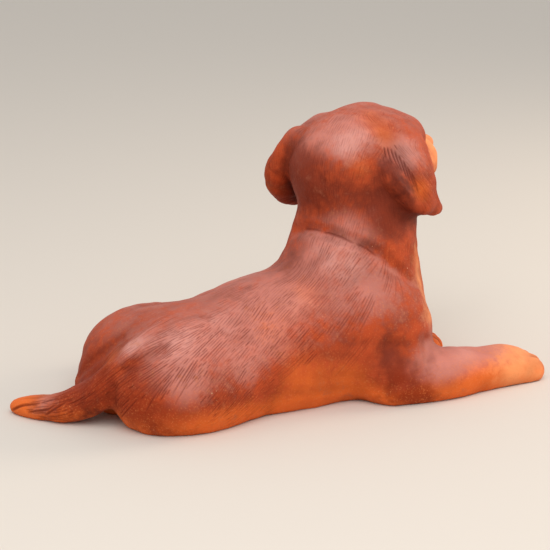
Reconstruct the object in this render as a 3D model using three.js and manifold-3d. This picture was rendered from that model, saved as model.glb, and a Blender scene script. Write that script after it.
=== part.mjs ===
// A setter lying down, carved as one solid piece, in millimetres: +X towards the forepaws,
// +Y towards the dog's left and +Z up, with the origin on the ground under its middle.
import * as THREE from "three";
import { mergeVertices } from "three/addons/utils/BufferGeometryUtils.js";
import Module from "manifold-3d";

// The figure is laid out round the point on the ground below the front of its barrel,
// and moved by this much in the end, which brings its middle over the origin.
const LAYOUT_SHIFT = [-1.4, -12.3, 0];

// Size of the grid that the form is sampled on, and the triangles left after thinning.
const GRID_STEP = 1.8;
const TRIANGLES = 10200;
const LOWEST = -3; // the form goes on this far below the ground, where it is then cut flat
const SAMPLED_BOX = { low: [-116, -52, LOWEST - 3], high: [122, 78, 123] };
const COLOUR = { red: 150, green: 66, blue: 42 };
const SURFACE = { roughness: 0.5, metalness: 0 };

// Rounded masses of the body: centre, three radii, and how softly each runs into the others.
const BARREL = { at: [14, -1, 21], radii: [50, 34, 32] };
const RIBS = { at: [37, -1, 27], radii: [27, 35, 34], soft: 12 };
const LOIN = { at: [-20, -2, 17], radii: [45, 33, 27], soft: 12 };
const NEAR_HAUNCH = { at: [-48, -18, 15], radii: [31, 25, 24], soft: 10 };
const FAR_HAUNCH = { at: [-52, 12, 17], radii: [28.5, 25, 22], soft: 10 };
const CROUP = { at: [-43, -4, 23], radii: [27, 20, 17], soft: 8 };
const FAR_SEAT = { at: [-64, 8, 10.5], radii: [20.8, 18, 13], soft: 5 };
const BREAST = { at: [58, 1, 38], radii: [8.5, 12, 18], soft: 8 };
const NEAR_PECTORAL = { at: [49, -14, 24], radii: [12, 11, 15], soft: 7 };
const FAR_PECTORAL = { at: [52, 15, 24], radii: [12, 11, 15], soft: 7 };
const NEAR_SHOULDER = { at: [39, -26, 24], radii: [20, 12, 25], soft: 8 };
const FAR_SHOULDER = { at: [39, 24, 24], radii: [20, 12, 25], soft: 8 };

// Limbs, neck and tail run through joints, each a row of x, y, z, half width, half thickness.
const SIDEWAYS = [0, 1, 0];
const NECK = {
  joints: [[34.5, 1.5, 42, 31, 30], [38.2, 2, 62, 27, 26], [41, 4, 80, 24, 24.5], [41, 6, 92, 23, 24]],
  soft: 9,
  steps: 2,
};
const NEAR_FORELEG = {
  joints: [
    [38, -33, 10, 12, 13], [60, -34, 8, 12.5, 11.7], [80, -32, 6.5, 10.8, 9.6],
    [93.5, -30.5, 6, 10.8, 8.8],
  ],
  soft: 6,
};
const FAR_FORELEG = {
  joints: [[38, 30, 10, 12, 13], [58, 27, 6.5, 11, 10], [74, 23, 5, 9.5, 8]],
  soft: 6,
};
const FAR_THIGH = {
  joints: [[-54, 20, 17, 19, 18], [-38, 34, 17, 15, 16], [-24, 42, 12, 11, 12]],
  soft: 7,
};
const FAR_SHANK = {
  joints: [[-24, 44, 9, 9, 9], [-40, 52, 7, 7.5, 8], [-54, 56, 6, 6.5, 7]],
  soft: 4,
};
const FAR_HOCK = { joints: [[-54, 57, 4.5, 6.5, 6.5], [-36, 61, 4, 7, 6]], soft: 3, steps: 1 };
const NEAR_HOCK = { joints: [[-24, 26, 4, 8, 7], [-9, 37, 4, 7.5, 6]], soft: 4, steps: 1 };
const TAIL = {
  joints: [
    [-38, -12, 33, 9, 7], [-50, -17, 33.5, 9.5, 7], [-61, -18.5, 30.5, 10, 6.8],
    [-70, -16, 24.5, 9.5, 6.3], [-77.5, -11, 16.5, 8.5, 6.3], [-84.8, -4.5, 9.3, 8, 6],
    [-92, 1.8, 5.4, 7.4, 5.2], [-99, 9, 3.8, 6.4, 4.4], [-104.6, 15, 2.8, 4.5, 3.4],
    [-107.4, 18.4, 2.4, 2.8, 2.6],
  ],
  soft: 3,
};

// Paws: place of the middle, the way they point in degrees from +X, and their size.
const PAW_RADII = [11, 9.5, 7.5];
const TOE = { radii: [6.5, 2.9, 5.8], reach: 8.5, round: 1.1, apart: 4.9, down: 1.5, soft: 1.6 };
const NEAR_FOREPAW = { at: [96.8, -30, 5.8], yaw: 7, size: 1.12, soft: 4 };
const FAR_FOREPAW = { at: [78, 21, 4.5], yaw: -12, size: 1, soft: 4 };
const FAR_HIND_PAW = { at: [-27, 62, 3.5], yaw: 8, size: 0.85, soft: 3 };
const NEAR_HIND_PAW = { at: [-3, 40, 3.5], yaw: 25, size: 0.85, soft: 3 };

// The head has a frame of its own: x to the nose, y to its left, z up. What is given for
// the left side is mirrored to the right.
const HEAD = { at: [41, 8, 94], yaw: 33, pitch: 3, roll: -2.5, soft: 5 };
const CRANIUM = { at: [-5, 0, -1], radii: [26, 25, 23] };
const FOREHEAD = { at: [11, 0, 3], radii: [18, 20, 20], soft: 8 };
const BROW = { at: [17, 13.3, 7.5], radii: [13, 10.5, 9], soft: 8 };
const STOP = { at: [24, 0, 1], radii: [13, 9, 9], soft: 6 };
const CHEEK = { at: [10, 13, -9], radii: [17, 11, 12], soft: 7 };
const MUZZLE = {
  joints: [[18, 0, -6, 15, 13], [37, 0, -9, 12.5, 11.3], [54, 0, -9.6, 10.8, 10]],
  soft: 8,
  steps: 2,
};
const FLEW = { at: [45, 6, -13], radii: [14, 6.5, 8], soft: 4 };
const JAW = { from: [16, 0, -18], to: [46, 0, -18.8], radius: [8, 5.4], soft: 4 };
const NOSE = { at: [61.6, 0, -4.8], radii: [4.8, 6.2, 4.6], soft: 2 };
const EYE_SOCKET = { at: [30.5, 15, 3], radii: [8.5, 6.8, 5.4], soft: 4 };
const EYEBALL = { at: [24, 11.8, 3], radii: [5.4, 4.8, 4], soft: 1.8 };
const EAR_FLAP = {
  joints: [
    [3, 17, 12.8, 13, 6], [3, 24, 7, 12, 5.2], [2, 29, -1.5, 9.6, 4.8],
    [1.5, 31.2, -9, 7.6, 4.4], [4.8, 31.4, -16, 5.4, 3.8], [12.2, 31.6, -20.8, 3.3, 2.8],
  ],
  wide: [1, -0.2, 0.15],
  soft: 3,
};
const FAR_EAR_BACK = {
  joints: [
    [-10, 18.5, 9.8, 9, 6.5], [-11.2, 25.4, 2, 8.8, 6], [-9.5, 30, -5, 8.8, 5.8],
    [-4.5, 31, -11.5, 7.8, 5], [1.5, 31.2, -16.5, 6, 4],
  ],
  wide: [1, -0.6, 0.25],
  soft: 3,
};
const NEAR_EAR_BACK = {
  joints: [
    [-9.5, -14.5, 8, 9, 6.5], [-10, -21.4, 0.5, 8.8, 6], [-8.4, -26.4, -6.5, 8.6, 5.6],
    [-4, -29.4, -12.2, 7.6, 5], [1.5, -31.2, -16.5, 6, 4],
  ],
  wide: [1, 0.6, 0.25],
  soft: 3,
};

// Furrows: the points that they run through, and how wide and deep they are.
const MOUTH = {
  through: [[66, 0.5, -12], [60, 8, -16.3], [48, 12.3, -20], [34, 13.8, -19]],
  width: 1.3,
  depth: 1.3,
};
const NOSTRIL = { through: [[66.1, 2.8, -4.2], [64.6, 5, -5.8]], width: 1.1, depth: 1.5 };
const NEAR_EAR_HOLLOW = {
  through: [
    [-15.3, -24.6, 6.3], [-13.5, -28.5, 2.1], [-11.7, -31.8, -3.2], [-10, -34, -7.5],
    [-8.5, -35, -12.5],
  ],
  width: 3.2,
  depth: 2.2,
};
const NECK_FOLD = {
  through: [
    [12.4, 8, 66.5], [13.6, -3, 69], [16.9, -11.5, 69.3], [21.8, -18.2, 68.2],
    [28.4, -23.5, 65.3], [36, -26.5, 60.2], [44, -27.8, 54], [49.5, -27.8, 49],
  ],
  width: 2.4,
  depth: 2.4,
};
const ARMPIT_FOLD = {
  through: [[34.6, -39.8, 26], [37.5, -42.2, 19.8], [36, -44.5, 14]],
  width: 3.6,
  depth: 1.9,
};
const ELBOW_FOLD = {
  through: [[53.6, -35.5, 25], [50.7, -41.5, 19], [46, -45.2, 14.3], [38, -45, 11], [31.5, -43, 8.5]],
  width: 2.2,
  depth: 1.2,
};
const TAIL_FOLD = {
  through: [
    [-80.3, -19.3, 13], [-80.3, -20.2, 18], [-79.2, -19.9, 22.3], [-75.5, -23.3, 26.4],
    [-69.7, -26.7, 30.7], [-62, -29.4, 34],
  ],
  width: 2,
  depth: 1.6,
};
const FAR_TAIL_FOLD = {
  through: [[-83.5, 10, 15], [-80.8, 6.2, 19.8], [-77.6, 3.2, 23.7], [-74, 0.2, 28.1], [-70, -3, 32.5]],
  width: 2,
  depth: 1.5,
};

// A shape is a function of a point that gives its distance to the surface, negative inside.

// The smaller of two distances, with a fillet of the given softness where they meet.
function softMin(a, b, soft) {
  const h = THREE.MathUtils.clamp(0.5 + (0.5 * (b - a)) / soft, 0, 1);
  return b + (a - b) * h - soft * h * (1 - h);
}

// Nearly the distance to an ellipsoid with the given radii round the zero point.
function roundness(a, b, c, ra, rb, rc) {
  const LEAST = 1e-9; // keeps the very middle from a division by nothing
  const k0 = Math.hypot(a / ra, b / rb, c / rc);
  const k1 = Math.hypot(a / ra ** 2, b / rb ** 2, c / rc ** 2) + LEAST;
  return (k0 * (k0 - 1)) / k1;
}

function egg({ at, radii }) {
  return (x, y, z) => roundness(x - at[0], y - at[1], z - at[2], radii[0], radii[1], radii[2]);
}

function cone({ from, to, radius }) {
  const a = new THREE.Vector3(...from);
  const along = new THREE.Vector3(...to).sub(a);
  const length2 = along.lengthSq();
  return (x, y, z) => {
    const [px, py, pz] = [x - a.x, y - a.y, z - a.z];
    const t = THREE.MathUtils.clamp((px * along.x + py * along.y + pz * along.z) / length2, 0, 1);
    const away = Math.hypot(px - t * along.x, py - t * along.y, pz - t * along.z);
    return away - THREE.MathUtils.lerp(radius[0], radius[1], t);
  };
}

// Rows of numbers on a smooth run through the given rows, with the given steps between them.
function smoothRows(rows, steps) {
  if (rows.length < 3 || steps < 2) return rows;
  const beyond = (end, inner) => end.map((v, i) => 2 * v - inner[i]);
  const last = rows.length - 1;
  const all = [beyond(rows[0], rows[1]), ...rows, beyond(rows[last], rows[last - 1])];
  const run = [];
  for (let n = 1; n < all.length - 2; n++) {
    for (let s = 0; s < steps; s++) {
      const t = s / steps;
      run.push(all[n].map((b, i) => {
        const [a, c, d] = [all[n - 1][i], all[n + 1][i], all[n + 2][i]];
        const curve = (2 * a - 5 * b + 4 * c - d) * t ** 2 + (3 * b - a - 3 * c + d) * t ** 3;
        return b + ((c - a) * t + curve) / 2;
      }));
    }
  }
  run.push(rows[last]);
  return run;
}

// A limb of elliptical section through its joints, as wide as they say along the wide axis.
function limb({ joints, wide = SIDEWAYS, steps = 3 }) {
  const JOIN_SOFT = 2;
  const run = smoothRows(joints, steps);
  const pieces = run.slice(1).map((end, n) => {
    const start = run[n];
    const a = new THREE.Vector3(...start);
    const along = new THREE.Vector3(...end).sub(a);
    const forward = along.clone().normalize();
    const across = new THREE.Vector3(...wide);
    across.addScaledVector(forward, -across.dot(forward)).normalize();
    const through = forward.clone().cross(across);
    return { a, along, forward, across, through, length2: along.lengthSq(), start, end };
  });
  return (x, y, z) => {
    let distance = Infinity;
    for (const { a, along, forward, across, through, length2, start, end } of pieces) {
      const [px, py, pz] = [x - a.x, y - a.y, z - a.z];
      const t = THREE.MathUtils.clamp((px * along.x + py * along.y + pz * along.z) / length2, 0, 1);
      const [qx, qy, qz] = [px - t * along.x, py - t * along.y, pz - t * along.z];
      const halfWidth = THREE.MathUtils.lerp(start[3], end[3], t);
      const halfDepth = THREE.MathUtils.lerp(start[4], end[4], t);
      const here = roundness(
        qx * across.x + qy * across.y + qz * across.z,
        qx * through.x + qy * through.y + qz * through.z,
        qx * forward.x + qy * forward.y + qz * forward.z,
        halfWidth,
        halfDepth,
        Math.min(halfWidth, halfDepth),
      );
      distance = distance === Infinity ? here : softMin(distance, here, JOIN_SOFT);
    }
    return distance;
  };
}

// Runs the shapes together, each with its own softness.
function joined(first, ...others) {
  return (x, y, z) =>
    others.reduce((d, [shape, softness]) => softMin(d, shape(x, y, z), softness), first(x, y, z));
}

// Takes a hole out of a shape, with a rim of the given softness.
function hollowed(shape, [hole, softness]) {
  return (x, y, z) => -softMin(-shape(x, y, z), hole(x, y, z), softness);
}

// Presses a soft furrow into a shape along a line.
function furrowed(shape, ...furrows) {
  const presses = furrows.map(({ through, width, depth }) => {
    const run = smoothRows(through, 4).map((row) => new THREE.Vector3(...row));
    const nearest = new THREE.Vector3();
    const point = new THREE.Vector3();
    const lines = run.slice(1).map((end, n) => new THREE.Line3(run[n], end));
    return (x, y, z) => {
      point.set(x, y, z);
      let away2 = Infinity;
      for (const line of lines) {
        line.closestPointToPoint(point, true, nearest);
        away2 = Math.min(away2, nearest.distanceToSquared(point));
      }
      return depth * Math.exp(-away2 / width ** 2);
    };
  });
  return (x, y, z) => presses.reduce((d, press) => d + press(x, y, z), shape(x, y, z));
}

function mirrored(shape) {
  return (x, y, z) => shape(x, Math.abs(y), z);
}

// Puts a shape with a frame of its own in its place. A positive pitch lifts the x axis, and
// a positive roll lifts the y axis.
function placed(shape, { at, yaw, pitch = 0, roll = 0, size = 1 }) {
  const angles = [roll, -pitch, yaw].map(THREE.MathUtils.degToRad);
  const turn = new THREE.Matrix4().makeRotationFromEuler(new THREE.Euler(...angles, "ZYX"));
  const inverse = turn.setPosition(...at).invert();
  const e = inverse.elements;
  return (x, y, z) =>
    size * shape(
      (e[0] * x + e[4] * y + e[8] * z + e[12]) / size,
      (e[1] * x + e[5] * y + e[9] * z + e[13]) / size,
      (e[2] * x + e[6] * y + e[10] * z + e[14]) / size,
    );
}

function paw(place) {
  const toes = [-1.5, -0.5, 0.5, 1.5].map((n) => {
    const at = [TOE.reach - TOE.round * n * n, TOE.apart * n, -TOE.down];
    return [egg({ at, radii: TOE.radii }), TOE.soft];
  });
  return placed(joined(egg({ at: [0, 0, 0], radii: PAW_RADII }), ...toes), place);
}

const soft = (make, part) => [make(part), part.soft];

function head() {
  const both = (make, part) => [mirrored(make(part)), part.soft];
  const skull = joined(
    egg(CRANIUM), soft(egg, FOREHEAD), both(egg, BROW), soft(egg, STOP), both(egg, CHEEK),
    soft(limb, MUZZLE), both(egg, FLEW), soft(cone, JAW), soft(egg, NOSE),
  );
  const lined = mirrored(furrowed(skull, MOUTH, NOSTRIL));
  const socketed = hollowed(lined, both(egg, EYE_SOCKET));
  const eared = joined(
    socketed, both(egg, EYEBALL), soft(limb, FAR_EAR_BACK), soft(limb, NEAR_EAR_BACK),
    both(limb, EAR_FLAP),
  );
  return placed(furrowed(eared, NEAR_EAR_HOLLOW), HEAD);
}

function figure() {
  const body = joined(
    egg(BARREL), soft(egg, RIBS), soft(egg, LOIN), soft(egg, NEAR_HAUNCH), soft(egg, FAR_HAUNCH),
    soft(egg, CROUP), soft(egg, FAR_SEAT), soft(egg, BREAST),
    soft(egg, NEAR_PECTORAL), soft(egg, FAR_PECTORAL),
    soft(limb, NECK), [head(), HEAD.soft],
    soft(egg, NEAR_SHOULDER), soft(egg, FAR_SHOULDER),
    soft(limb, NEAR_FORELEG), soft(paw, NEAR_FOREPAW),
    soft(limb, FAR_FORELEG), soft(paw, FAR_FOREPAW),
    soft(limb, FAR_THIGH), soft(limb, FAR_SHANK), soft(limb, FAR_HOCK), soft(paw, FAR_HIND_PAW),
    soft(limb, NEAR_HOCK), soft(paw, NEAR_HIND_PAW), soft(limb, TAIL),
  );
  const folded = furrowed(body, NECK_FOLD, ARMPIT_FOLD, ELBOW_FOLD, TAIL_FOLD, FAR_TAIL_FOLD);
  return (x, y, z) => Math.max(folded(x, y, z), LOWEST - z);
}

// Distances on a grid, worked out only in the blocks that the surface may pass through.
function sampled(shape, { low, high }, step) {
  const BLOCK = 6;
  const REACH = 1.7 * (Math.sqrt(3) / 2) * BLOCK * step;
  const count = low.map((v, i) => Math.ceil((high[i] - v) / step / BLOCK) * BLOCK + 1);
  const values = new Float32Array(count[0] * count[1] * count[2]).fill(NaN);
  const index = (i, j, k) => i + count[0] * (j + count[1] * k);
  const middle = (n) => (n + BLOCK / 2) * step;
  for (let k0 = 0; k0 < count[2] - 1; k0 += BLOCK)
    for (let j0 = 0; j0 < count[1] - 1; j0 += BLOCK)
      for (let i0 = 0; i0 < count[0] - 1; i0 += BLOCK) {
        const [x, y, z] = [i0, j0, k0].map((n, axis) => low[axis] + middle(n));
        if (Math.abs(shape(x, y, z)) > REACH) continue;
        for (let k = k0; k <= k0 + BLOCK; k++)
          for (let j = j0; j <= j0 + BLOCK; j++)
            for (let i = i0; i <= i0 + BLOCK; i++) {
              const at = index(i, j, k);
              if (Number.isNaN(values[at]))
                values[at] = shape(low[0] + i * step, low[1] + j * step, low[2] + k * step);
            }
      }
  return { values, count, index, low, step };
}

// The corners of a grid cell, and its edges as pairs of corners.
const CELL_CORNERS = [0, 1, 2, 3, 4, 5, 6, 7].map((n) => [n & 1, (n >> 1) & 1, n >> 2]);
const CELL_EDGES = CELL_CORNERS.flatMap((_, a) =>
  [1, 2, 4].filter((bit) => !(a & bit)).map((bit) => [a, a | bit]),
);

// Whether a surface round the corners that the bits of the mask name would touch itself.
function touchesItself(mask) {
  const isIn = (n) => (mask >> n) & 1;
  const group = CELL_CORNERS.map((_, n) => n);
  for (let pass = 0; pass < CELL_CORNERS.length; pass++)
    for (const [a, b] of CELL_EDGES)
      if (isIn(a) === isIn(b)) group[a] = group[b] = Math.min(group[a], group[b]);
  if (new Set(group).size > 2) return true;
  const crossed = (a, b, c, d) => isIn(a) === isIn(c) && isIn(b) === isIn(d) && isIn(a) !== isIn(b);
  return [[1, 2, 4], [2, 4, 1], [4, 1, 2]].some(([across, u, v]) =>
    [0, across].some((side) => crossed(side, side | u, side | u | v, side | v)),
  );
}

// Where the surface would touch itself inside a cell, the corner nearest to it changes sides.
function settled(samples) {
  const { values, count, index } = samples;
  const PASSES = 6;
  const bad = Array.from({ length: 256 }, (_, mask) => touchesItself(mask));
  for (let pass = 0; pass < PASSES; pass++)
    for (let k = 0; k < count[2] - 1; k++)
      for (let j = 0; j < count[1] - 1; j++)
        for (let i = 0; i < count[0] - 1; i++) {
          const at = CELL_CORNERS.map(([a, b, c]) => index(i + a, j + b, k + c));
          if (at.some((n) => Number.isNaN(values[n]))) continue;
          const mask = at.reduce((bits, n, corner) => bits | ((values[n] < 0 ? 1 : 0) << corner), 0);
          if (!bad[mask]) continue;
          const nearer = (a, b) => (Math.abs(values[b]) < Math.abs(values[a]) ? b : a);
          const nearest = at.reduce(nearer);
          values[nearest] = -values[nearest];
        }
  return samples;
}

// Covers the zero level of the sampled distances with quads, one corner in each crossed cell.
function skin({ values, count, index, low, step }) {
  const points = [];
  const pointOf = new Int32Array(values.length).fill(-1);
  for (let k = 0; k < count[2] - 1; k++)
    for (let j = 0; j < count[1] - 1; j++)
      for (let i = 0; i < count[0] - 1; i++) {
        const here = CELL_CORNERS.map(([a, b, c]) => values[index(i + a, j + b, k + c)]);
        const inside = here.filter((v) => v < 0).length;
        if (inside === 0 || inside === 8 || here.some(Number.isNaN)) continue;
        const sum = [0, 0, 0];
        let crossings = 0;
        for (const [a, b] of CELL_EDGES) {
          if (here[a] < 0 === here[b] < 0) continue;
          const t = here[a] / (here[a] - here[b]);
          const [from, to] = [CELL_CORNERS[a], CELL_CORNERS[b]];
          from.forEach((v, axis) => (sum[axis] += THREE.MathUtils.lerp(v, to[axis], t)));
          crossings++;
        }
        pointOf[index(i, j, k)] = points.length;
        points.push([i, j, k].map((n, axis) => low[axis] + step * (n + sum[axis] / crossings)));
      }
  const faces = [];
  const stride = [1, count[0], count[0] * count[1]];
  for (let axis = 0; axis < 3; axis++) {
    const [u, v] = [stride[(axis + 1) % 3], stride[(axis + 2) % 3]];
    for (let at = u + v; at + stride[axis] < values.length; at++) {
      const [here, next] = [values[at], values[at + stride[axis]]];
      if (Number.isNaN(here) || Number.isNaN(next) || here < 0 === next < 0) continue;
      const ring = [pointOf[at], pointOf[at - u], pointOf[at - u - v], pointOf[at - v]];
      if (here > 0) ring.reverse();
      faces.push([ring[0], ring[1], ring[2]], [ring[0], ring[2], ring[3]]);
    }
  }
  return { points, faces };
}

// The squared distances of a point to the planes of some faces, as the ten numbers of a
// symmetric matrix.
const planeSum = {
  of([a, b, c, d], weight) {
    const products = [a * a, a * b, a * c, a * d, b * b, b * c, b * d, c * c, c * d, d * d];
    return products.map((v) => v * weight);
  },
  add: (p, q) => p.map((v, i) => v + q[i]),
  at: (q, [x, y, z]) =>
    q[0] * x * x + 2 * q[1] * x * y + 2 * q[2] * x * z + 2 * q[3] * x + q[4] * y * y +
    2 * q[5] * y * z + 2 * q[6] * y + q[7] * z * z + 2 * q[8] * z + q[9],
  // The point where the sum is least, or nothing where the planes are too alike to say.
  lowest(q) {
    const LEAST_SHARE = 1e-4;
    const matrix = new THREE.Matrix3(q[0], q[1], q[2], q[1], q[4], q[5], q[2], q[5], q[7]);
    const spread = (q[0] + q[4] + q[7]) ** 3;
    if (Math.abs(matrix.determinant()) < LEAST_SHARE * spread) return null;
    return new THREE.Vector3(-q[3], -q[6], -q[8]).applyMatrix3(matrix.invert()).toArray();
  },
};

// A queue that gives back its cheapest entry first.
class CheapestFirst {
  entries = [];

  push(entry) {
    const e = this.entries;
    let n = e.push(entry) - 1;
    for (let up = (n - 1) >> 1; n > 0 && e[up].cost > e[n].cost; n = up, up = (n - 1) >> 1)
      [e[up], e[n]] = [e[n], e[up]];
  }

  pop() {
    const e = this.entries;
    const first = e[0];
    const last = e.pop();
    if (!e.length) return first;
    e[0] = last;
    for (let n = 0, down = 1; down < e.length; down = 2 * n + 1) {
      if (down + 1 < e.length && e[down + 1].cost < e[down].cost) down++;
      if (e[n].cost <= e[down].cost) break;
      [e[down], e[n]] = [e[n], e[down]];
      n = down;
    }
    return first;
  }
}

// Thins a closed surface by drawing short flat edges together, so that the triangles left
// are large where the form is plain and small where it is not.
function thinned({ points, faces }, triangles) {
  const LENGTH_COST = 2e-4;
  const LEAST_TURN = 0.25; // a face may not turn further than this cosine allows
  const NO_AREA = 1e-9;
  const places = points.map((p) => [...p]);
  const corners = faces.map((f) => [...f]);
  const around = points.map(() => new Set());
  corners.forEach((f, n) => f.forEach((p) => around[p].add(n)));
  const normalOf = (a, b, c) => {
    const [ux, uy, uz] = [b[0] - a[0], b[1] - a[1], b[2] - a[2]];
    const [vx, vy, vz] = [c[0] - a[0], c[1] - a[1], c[2] - a[2]];
    return [uy * vz - uz * vy, uz * vx - ux * vz, ux * vy - uy * vx];
  };
  const sums = points.map(() => new Array(10).fill(0));
  for (const f of corners) {
    const normal = normalOf(...f.map((p) => places[p]));
    const twice = Math.hypot(...normal);
    if (twice < NO_AREA) continue;
    const unit = normal.map((v) => v / twice);
    const start = places[f[0]];
    const plane = [...unit, -(unit[0] * start[0] + unit[1] * start[1] + unit[2] * start[2])];
    const sum = planeSum.of(plane, twice / 2);
    for (const p of f) sums[p] = planeSum.add(sums[p], sum);
  }
  const changes = new Int32Array(points.length);
  const queue = new CheapestFirst();
  const neighbours = (p) => {
    const found = new Set();
    for (const n of around[p]) for (const q of corners[n]) if (q !== p) found.add(q);
    return found;
  };
  const offer = (a, b) => {
    const sum = planeSum.add(sums[a], sums[b]);
    const [pa, pb] = [places[a], places[b]];
    const length2 = (pa[0] - pb[0]) ** 2 + (pa[1] - pb[1]) ** 2 + (pa[2] - pb[2]) ** 2;
    const half = pa.map((v, i) => (v + pb[i]) / 2);
    let to = planeSum.lowest(sum);
    if (!to || Math.hypot(to[0] - half[0], to[1] - half[1], to[2] - half[2]) ** 2 > length2) to = half;
    const cost = Math.max(0, planeSum.at(sum, to)) + LENGTH_COST * length2 ** 2;
    queue.push({ cost, a, b, to, sum, stamp: changes[a] + changes[b] });
  };
  const turnsOver = (moved, other, to) => {
    for (const n of around[moved]) {
      const f = corners[n];
      if (f.includes(other)) continue;
      const before = normalOf(...f.map((p) => places[p]));
      const after = normalOf(...f.map((p) => (p === moved ? to : places[p])));
      const dot = before[0] * after[0] + before[1] * after[1] + before[2] * after[2];
      if (dot < LEAST_TURN * Math.hypot(...before) * Math.hypot(...after)) return true;
    }
    return false;
  };
  points.forEach((_, a) => neighbours(a).forEach((b) => a < b && offer(a, b)));
  const gone = new Set();
  let left = corners.length;
  while (left > triangles && queue.entries.length) {
    const { a, b, to, sum, stamp } = queue.pop();
    if (gone.has(a) || gone.has(b) || stamp !== changes[a] + changes[b]) continue;
    const besideB = neighbours(b);
    const shared = [...neighbours(a)].filter((p) => besideB.has(p));
    if (shared.length !== 2 || turnsOver(a, b, to) || turnsOver(b, a, to)) continue;
    for (const n of around[b]) {
      const f = corners[n];
      if (f.includes(a)) {
        f.forEach((p) => p !== b && around[p].delete(n));
        corners[n] = null;
        left--;
      } else {
        f[f.indexOf(b)] = a;
        around[a].add(n);
      }
    }
    gone.add(b);
    places[a] = to;
    sums[a] = sum;
    changes[a]++;
    neighbours(a).forEach((p) => offer(a, p));
  }
  return { points: places, faces: corners.filter(Boolean) };
}

// The closed surface as a solid that can be cut.
function solidOf(wasm, positions, triangles) {
  return new wasm.Manifold(
    new wasm.Mesh({
      numProp: 3,
      vertProperties: new Float32Array(positions),
      triVerts: new Uint32Array(triangles),
    }),
  );
}

// A box that fills the ground below the figure.
function groundBox(wasm) {
  const DEPTH = 40;
  const SPAN = 400;
  const box = new THREE.BoxGeometry(SPAN, SPAN, DEPTH).translate(0, 0, -DEPTH / 2);
  box.deleteAttribute("normal");
  box.deleteAttribute("uv");
  const merged = mergeVertices(box);
  return solidOf(wasm, merged.attributes.position.array, merged.index.array);
}

// Lowers the corners that all but touch the ground plane, so that the cut leaves no slivers.
function clearOfGround({ points, faces }) {
  const LEAST_GAP = 0.35;
  return { points: points.map(([x, y, z]) => [x, y, Math.abs(z) < LEAST_GAP ? -LEAST_GAP : z]), faces };
}

function carving(wasm) {
  const surface = skin(settled(sampled(figure(), SAMPLED_BOX, GRID_STEP)));
  const whole = clearOfGround(thinned(surface, TRIANGLES));
  const resting = solidOf(wasm, whole.points.flat(), whole.faces.flat()).subtract(groundBox(wasm));
  const { vertProperties, triVerts } = resting.getMesh();
  const geometry = new THREE.BufferGeometry();
  geometry.setAttribute("position", new THREE.BufferAttribute(vertProperties, 3));
  geometry.setIndex(new THREE.BufferAttribute(triVerts, 1));
  geometry.translate(...LAYOUT_SHIFT);
  geometry.computeVertexNormals();
  return geometry;
}

const wasm = await Module();
wasm.setup();

const paint = new THREE.MeshStandardMaterial({
  color: new THREE.Color(`rgb(${COLOUR.red}, ${COLOUR.green}, ${COLOUR.blue})`),
  ...SURFACE,
});
const setter = new THREE.Mesh(carving(wasm), paint);
setter.name = "lying_setter";

const object = new THREE.Group();
object.add(setter);

export default object;
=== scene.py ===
import math
from itertools import product
from operator import add

import bpy
import numpy as np
from mathutils import Euler, Matrix, Vector
from mathutils.kdtree import KDTree


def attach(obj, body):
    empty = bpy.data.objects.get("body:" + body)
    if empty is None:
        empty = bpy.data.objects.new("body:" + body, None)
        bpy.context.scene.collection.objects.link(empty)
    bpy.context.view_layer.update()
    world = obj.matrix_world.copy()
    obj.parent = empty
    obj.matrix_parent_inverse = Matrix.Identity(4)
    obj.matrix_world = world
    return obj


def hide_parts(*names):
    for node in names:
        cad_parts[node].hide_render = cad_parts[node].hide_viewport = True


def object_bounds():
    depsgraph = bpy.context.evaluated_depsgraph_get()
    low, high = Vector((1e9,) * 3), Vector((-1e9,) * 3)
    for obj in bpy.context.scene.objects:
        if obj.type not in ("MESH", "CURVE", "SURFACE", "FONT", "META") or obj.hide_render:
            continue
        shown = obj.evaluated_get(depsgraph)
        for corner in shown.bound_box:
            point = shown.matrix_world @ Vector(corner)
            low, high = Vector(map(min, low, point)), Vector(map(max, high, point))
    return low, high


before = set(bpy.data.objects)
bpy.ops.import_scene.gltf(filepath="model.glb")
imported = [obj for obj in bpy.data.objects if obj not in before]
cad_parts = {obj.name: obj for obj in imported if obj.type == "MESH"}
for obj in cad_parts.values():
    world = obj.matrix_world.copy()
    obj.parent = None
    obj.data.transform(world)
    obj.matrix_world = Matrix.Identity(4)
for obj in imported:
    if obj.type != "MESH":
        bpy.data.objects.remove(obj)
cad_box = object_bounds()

# The figure is laid out in millimetres round the point on the ground below the front of its
# barrel: +X towards the forepaws, +Y towards the dog's left and +Z up. It is moved by this
# much in the end, which brings it to where the frame has it.
LAYOUT_SHIFT = np.array([-1.4, -12.3, 0.0])
MILLIMETRE = 0.001

# Where the photograph was taken from, in degrees and millimetres, in the layout's frame.
CAMERA = {"azimuth": -25, "elevation": 15, "field": 20, "distance": 650, "target": (0, 0, 50)}

# The fine surface: the step that the form is sampled at, how close to a stroke and how wide
# across it an edge may be before it is halved, and the triangles left at the end.
SKIN_STEP = 1.0
BLOCK = 5
SAMPLED_BOX = {"low": (-114, -48, -2), "high": (118, 76, 122)}
REFINEMENTS = [(1.3, 0.5), (0.8, 0.27)]
TRIANGLES = 196000
SEED = 11


# CAMERA

def make_camera():
    azimuth = math.radians(CAMERA["azimuth"])
    elevation = math.radians(CAMERA["elevation"])
    back = Vector((
        math.sin(azimuth) * math.cos(elevation),
        -math.cos(azimuth) * math.cos(elevation),
        math.sin(elevation),
    ))
    target = (Vector(CAMERA["target"]) + Vector(LAYOUT_SHIFT)) * MILLIMETRE
    data = bpy.data.cameras.new("camera")
    data.angle = math.radians(CAMERA["field"])
    data.clip_start = 0.01
    data.clip_end = 20
    camera = bpy.data.objects.new("camera", data)
    camera.location = target + back * CAMERA["distance"] * MILLIMETRE
    camera.rotation_mode = "QUATERNION"
    camera.rotation_quaternion = (-back).to_track_quat("-Z", "Y")
    bpy.context.scene.collection.objects.link(camera)
    bpy.context.scene.camera = camera


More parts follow.
